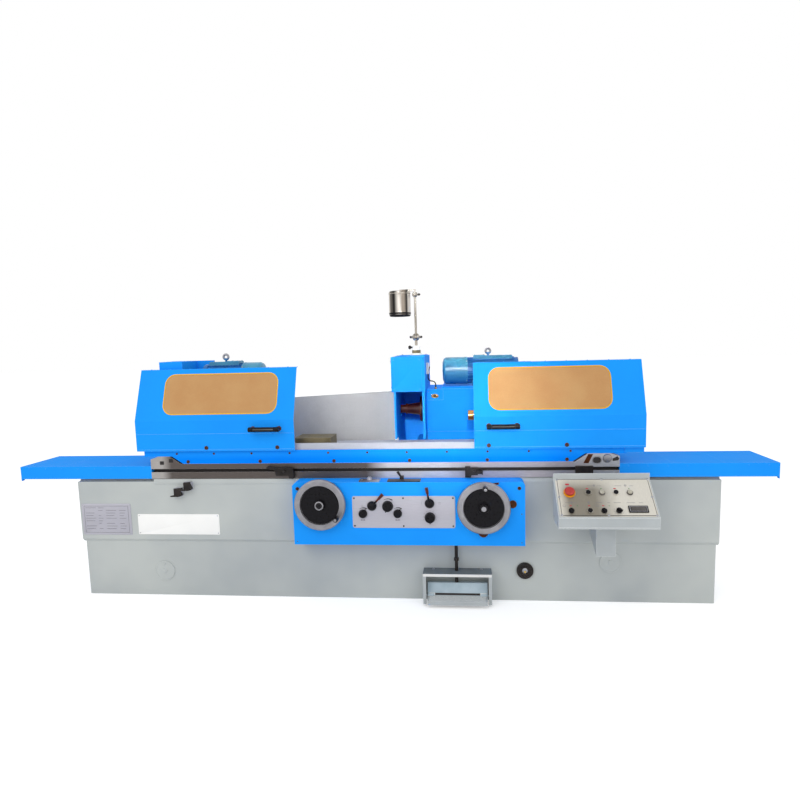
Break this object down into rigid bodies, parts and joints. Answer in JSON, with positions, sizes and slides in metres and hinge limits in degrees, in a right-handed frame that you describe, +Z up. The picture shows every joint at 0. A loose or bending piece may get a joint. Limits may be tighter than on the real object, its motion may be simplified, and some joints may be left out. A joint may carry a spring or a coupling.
{
  "type": "cylindrical grinding machine",
  "caption": "Long universal cylindrical grinding machine: sliding table with workhead and tailstock, splash hoods, wheelhead with guard and lamp, apron handwheels, console.",
  "frame": {"origin": "on the floor under the middle of the table, in the vertical plane of the work axis", "axes": "+X to the operator's right along the table, +Y away from the operator, +Z up"},
  "size_m": [4.605, 1.73, 1.911],
  "materials": {
    "bed_paint": "satin grey enamel on cast iron",
    "blue_paint": "semi-gloss blue enamel on cast iron and sheet",
    "motor_paint": "satin blue enamel on a finned motor",
    "ground_steel": "ground steel",
    "table_iron": "scraped and ground cast iron",
    "bright_steel": "turned and polished steel",
    "spindle_steel": "oiled dark red-brown steel",
    "dark_steel": "blackened steel",
    "olive_steel": "oiled steel",
    "brown_paint": "dark brown enamel",
    "plate_metal": "brushed grey plate",
    "quill_bronze": "oiled steel with a warm tint",
    "console_steel": "brushed stainless sheet",
    "zinc_sheet": "flat grey sheet",
    "pedal_paint": "light grey enamel",
    "pedal_plate": "worn bluish enamel",
    "window_film": "tan film on a clear pane",
    "black_plastic": "moulded black plastic",
    "cream_plastic": "moulded cream plastic",
    "red_plastic": "moulded red plastic",
    "lamp_metal": "pale lamp enamel",
    "lamp_steel": "plain steel rod",
    "shade_chrome": "chromed shade"
  },
  "bodies": {
    "bed": {"bed_casting": "bed_paint", "bed_fittings": "plate_metal", "apron_housing": "blue_paint", "apron_plates": "plate_metal", "apron_plugs": "brown_paint", "console_box": "console_steel", "console_panel": "console_steel", "pedal_frame": "pedal_paint", "splash_back": "zinc_sheet"},
    "table": {"lower_table": "table_iron", "way_covers": "blue_paint"},
    "left_dog": {"left_trip_dog": "dark_steel"},
    "right_dog": {"right_trip_dog": "dark_steel"},
    "upper": {"upper_table": "table_iron", "front_strip": "blue_paint", "steady_base": "olive_steel", "workhead_housing": "blue_paint", "workhead_motor": "motor_paint", "workhead_belt_guard": "blue_paint"},
    "spindle": {"work_spindle": "bright_steel"},
    "tailstock": {"tailstock_body": "blue_paint"},
    "quill": {"tailstock_quill": "quill_bronze"},
    "quill_lever": {"tailstock_lever": "dark_steel"},
    "hood_left": {"left_hood": "blue_paint", "left_window": "window_film"},
    "hood_right": {"right_hood": "blue_paint", "right_window": "window_film"},
    "wheelhead": {"cross_slide": "bed_paint", "wheelhead_housing": "blue_paint", "wheel_motor": "motor_paint", "wheel_guard": "blue_paint", "belt_cover": "blue_paint", "lamp_base": "lamp_metal"},
    "wheel_shaft": {"wheel_spindle": "spindle_steel"},
    "motor_pulley": {"wheel_motor_pulley": "ground_steel"},
    "arm": {"lamp_arm": "lamp_steel"},
    "shade": {"lamp_shade": "shade_chrome"},
    "table_wheel": {"table_handwheel": "bright_steel"},
    "table_grip": {"table_crank_grip": "black_plastic"},
    "infeed_wheel": {"infeed_handwheel": "bright_steel"},
    "infeed_grip": {"infeed_crank_grip": "black_plastic"},
    "treadle": {"pedal_treadle": "pedal_plate"},
    "rod": {"pedal_rod": "dark_steel"},
    "left_lever": {"left_lever": "black_plastic"},
    "right_lever": {"right_lever": "black_plastic"},
    "left_small_knob": {"left_small_knob": "black_plastic"},
    "middle_small_knob": {"middle_small_knob": "black_plastic"},
    "dwell_knob": {"dwell_knob": "black_plastic"},
    "feed_knob": {"feed_knob": "black_plastic"},
    "clamp_lever": {"clamp_lever": "brown_paint"},
    "reverse_lever": {"reverse_lever": "dark_steel"},
    "emergency_stop": {"emergency_stop": "red_plastic"},
    "start_button_1": {"start_button_1": "cream_plastic"},
    "stop_button_1": {"stop_button_1": "black_plastic"},
    "start_button_2": {"start_button_2": "cream_plastic"},
    "stop_button_2": {"stop_button_2": "black_plastic"},
    "reset_button": {"reset_button": "black_plastic"},
    "left_selector": {"left_selector": "black_plastic"},
    "right_selector": {"right_selector": "black_plastic"},
    "speed_dial": {"speed_dial": "black_plastic"}
  },
  "joints": [
    {"name": "table_slide", "type": "slide", "parent": "bed", "child": "table", "axis": [1, 0, 0], "range_m": [-0.75, 0.75]},
    {"name": "left_dog_slide", "type": "slide", "parent": "table", "child": "left_dog", "axis": [1, 0, 0], "range_m": [-0.5, 0.35]},
    {"name": "right_dog_slide", "type": "slide", "parent": "table", "child": "right_dog", "axis": [1, 0, 0], "range_m": [-0.3, 0.5]},
    {"name": "upper_swivel", "type": "hinge", "parent": "table", "child": "upper", "pos_m": [0, 0, 0.8583], "axis": [0, 0, 1], "range_deg": [-3, 3]},
    {"name": "work_spindle_spin", "type": "hinge", "parent": "upper", "child": "spindle", "pos_m": [-1, 0, 1.116], "axis": [1, 0, 0], "continuous": true},
    {"name": "tailstock_slide", "type": "slide", "parent": "upper", "child": "tailstock", "axis": [1, 0, 0], "range_m": [-0.25, 0.35]},
    {"name": "quill_slide", "type": "slide", "parent": "tailstock", "child": "quill", "axis": [-1, 0, 0], "range_m": [-0.03, 0], "stiffness_N_per_m": 5000, "springref_m": 0.02},
    {"name": "quill_lever_swing", "type": "hinge", "parent": "tailstock", "child": "quill_lever", "pos_m": [0.83, -0.09, 1.116], "axis": [0, 1, 0], "range_deg": [-26, 1]},
    {"name": "left_hood_slide", "type": "slide", "parent": "upper", "child": "hood_left", "axis": [1, 0, 0], "range_m": [0, 0.535]},
    {"name": "right_hood_slide", "type": "slide", "parent": "upper", "child": "hood_right", "axis": [1, 0, 0], "range_m": [-0.535, 0]},
    {"name": "infeed_slide", "type": "slide", "parent": "bed", "child": "wheelhead", "axis": [0, 1, 0], "range_m": [-0.1, 0.1]},
    {"name": "wheel_spindle_spin", "type": "hinge", "parent": "wheelhead", "child": "wheel_shaft", "pos_m": [0.5, 0.41, 1.116], "axis": [1, 0, 0], "continuous": true},
    {"name": "motor_pulley_spin", "type": "hinge", "parent": "wheelhead", "child": "motor_pulley", "pos_m": [0.9, 0.45, 1.371], "axis": [1, 0, 0], "continuous": true},
    {"name": "lamp_arm_tilt", "type": "hinge", "parent": "wheelhead", "child": "arm", "pos_m": [0.225, 0.22, 1.605], "axis": [1, 0, 0], "range_deg": [-60, 60]},
    {"name": "lamp_shade_tilt", "type": "hinge", "parent": "arm", "child": "shade", "pos_m": [0.225, 0.22, 1.877], "axis": [1, 0, 0], "range_deg": [-50, 50]},
    {"name": "table_wheel_turn", "type": "hinge", "parent": "bed", "child": "table_wheel", "pos_m": [-0.319, -0.3, 0.637], "axis": [0, 1, 0], "continuous": true},
    {"name": "table_grip_spin", "type": "hinge", "parent": "table_wheel", "child": "table_grip", "pos_m": [-0.21333, -0.37, 0.56838], "axis": [0, 1, 0], "continuous": true},
    {"name": "infeed_wheel_turn", "type": "hinge", "parent": "bed", "child": "infeed_wheel", "pos_m": [0.636, -0.3, 0.619], "axis": [0, 1, 0], "continuous": true},
    {"name": "infeed_grip_spin", "type": "hinge", "parent": "infeed_wheel", "child": "infeed_grip", "pos_m": [0.64479, -0.37, 0.74469], "axis": [0, 1, 0], "continuous": true},
    {"name": "left_lever_turn", "type": "hinge", "parent": "bed", "child": "left_lever", "pos_m": [-0.015, -0.3, 0.624], "axis": [0, 1, 0], "range_deg": [-15, 15]},
    {"name": "right_lever_turn", "type": "hinge", "parent": "bed", "child": "right_lever", "pos_m": [0.324, -0.3, 0.639], "axis": [0, 1, 0], "range_deg": [-20, 20]},
    {"name": "left_small_knob_turn", "type": "hinge", "parent": "bed", "child": "left_small_knob", "pos_m": [-0.07, -0.3, 0.576], "axis": [0, 1, 0], "range_deg": [-135, 135]},
    {"name": "middle_small_knob_turn", "type": "hinge", "parent": "bed", "child": "middle_small_knob", "pos_m": [0.136, -0.3, 0.577], "axis": [0, 1, 0], "range_deg": [-135, 135]},
    {"name": "dwell_knob_turn", "type": "hinge", "parent": "bed", "child": "dwell_knob", "pos_m": [0.078, -0.3, 0.622], "axis": [0, 1, 0], "range_deg": [-120, 120]},
    {"name": "feed_knob_turn", "type": "hinge", "parent": "bed", "child": "feed_knob", "pos_m": [0.325, -0.3, 0.554], "axis": [0, 1, 0], "range_deg": [-90, 90]},
    {"name": "clamp_lever_turn", "type": "hinge", "parent": "bed", "child": "clamp_lever", "pos_m": [0.662, -0.295, 0.75], "axis": [0, 1, 0], "range_deg": [-30, 40]},
    {"name": "reverse_lever_turn", "type": "hinge", "parent": "bed", "child": "reverse_lever", "pos_m": [0.16, -0.24, 0.782], "axis": [0, 1, 0], "range_deg": [-25, 25]},
    {"name": "treadle_press", "type": "hinge", "parent": "bed", "child": "treadle", "pos_m": [0.476, -0.23, 0.055], "axis": [1, 0, 0], "range_deg": [0, 6], "stiffness_Nm_per_rad": 20, "springref_deg": -6.88},
    {"name": "rod_lift", "type": "slide", "parent": "bed", "child": "rod", "axis": [0, 0, 1], "range_m": [0, 0.0036]},
    {"name": "emergency_stop_press", "type": "slide", "parent": "bed", "child": "emergency_stop", "axis": [0, 0.6293, -0.7771], "range_m": [0, 0.005], "stiffness_N_per_m": 1500, "springref_m": -0.002},
    {"name": "start_button_1_press", "type": "slide", "parent": "bed", "child": "start_button_1", "axis": [0, 0.6293, -0.7771], "range_m": [0, 0.004], "stiffness_N_per_m": 500, "springref_m": -0.002},
    {"name": "stop_button_1_press", "type": "slide", "parent": "bed", "child": "stop_button_1", "axis": [0, 0.6293, -0.7771], "range_m": [0, 0.004], "stiffness_N_per_m": 500, "springref_m": -0.002},
    {"name": "start_button_2_press", "type": "slide", "parent": "bed", "child": "start_button_2", "axis": [0, 0.6293, -0.7771], "range_m": [0, 0.004], "stiffness_N_per_m": 500, "springref_m": -0.002},
    {"name": "stop_button_2_press", "type": "slide", "parent": "bed", "child": "stop_button_2", "axis": [0, 0.6293, -0.7771], "range_m": [0, 0.004], "stiffness_N_per_m": 500, "springref_m": -0.002},
    {"name": "reset_button_press", "type": "slide", "parent": "bed", "child": "reset_button", "axis": [0, 0.6293, -0.7771], "range_m": [0, 0.004], "stiffness_N_per_m": 500, "springref_m": -0.002},
    {"name": "left_selector_turn", "type": "hinge", "parent": "bed", "child": "left_selector", "pos_m": [1.095, -0.50047, 0.65391], "axis": [0, -0.6293, 0.7771], "range_deg": [-45, 45]},
    {"name": "right_selector_turn", "type": "hinge", "parent": "bed", "child": "right_selector", "pos_m": [1.265, -0.50047, 0.65391], "axis": [0, -0.6293, 0.7771], "range_deg": [-45, 45]},
    {"name": "speed_dial_turn", "type": "hinge", "parent": "bed", "child": "speed_dial", "pos_m": [1.341, -0.50047, 0.65391], "axis": [0, -0.6293, 0.7771], "range_deg": [-135, 135]}
  ],
  "couplings": [
    {"joint": "table_wheel_turn", "follows": "table_slide", "rad_per_m": 104.72},
    {"joint": "infeed_wheel_turn", "follows": "infeed_slide", "rad_per_m": -104.72},
    {"joint": "motor_pulley_spin", "follows": "wheel_spindle_spin", "ratio": 1.8182},
    {"joint": "quill_lever_swing", "follows": "quill_slide", "rad_per_m": 14.5},
    {"joint": "rod_lift", "follows": "treadle_press", "m_per_rad": 0.034}
  ]
}
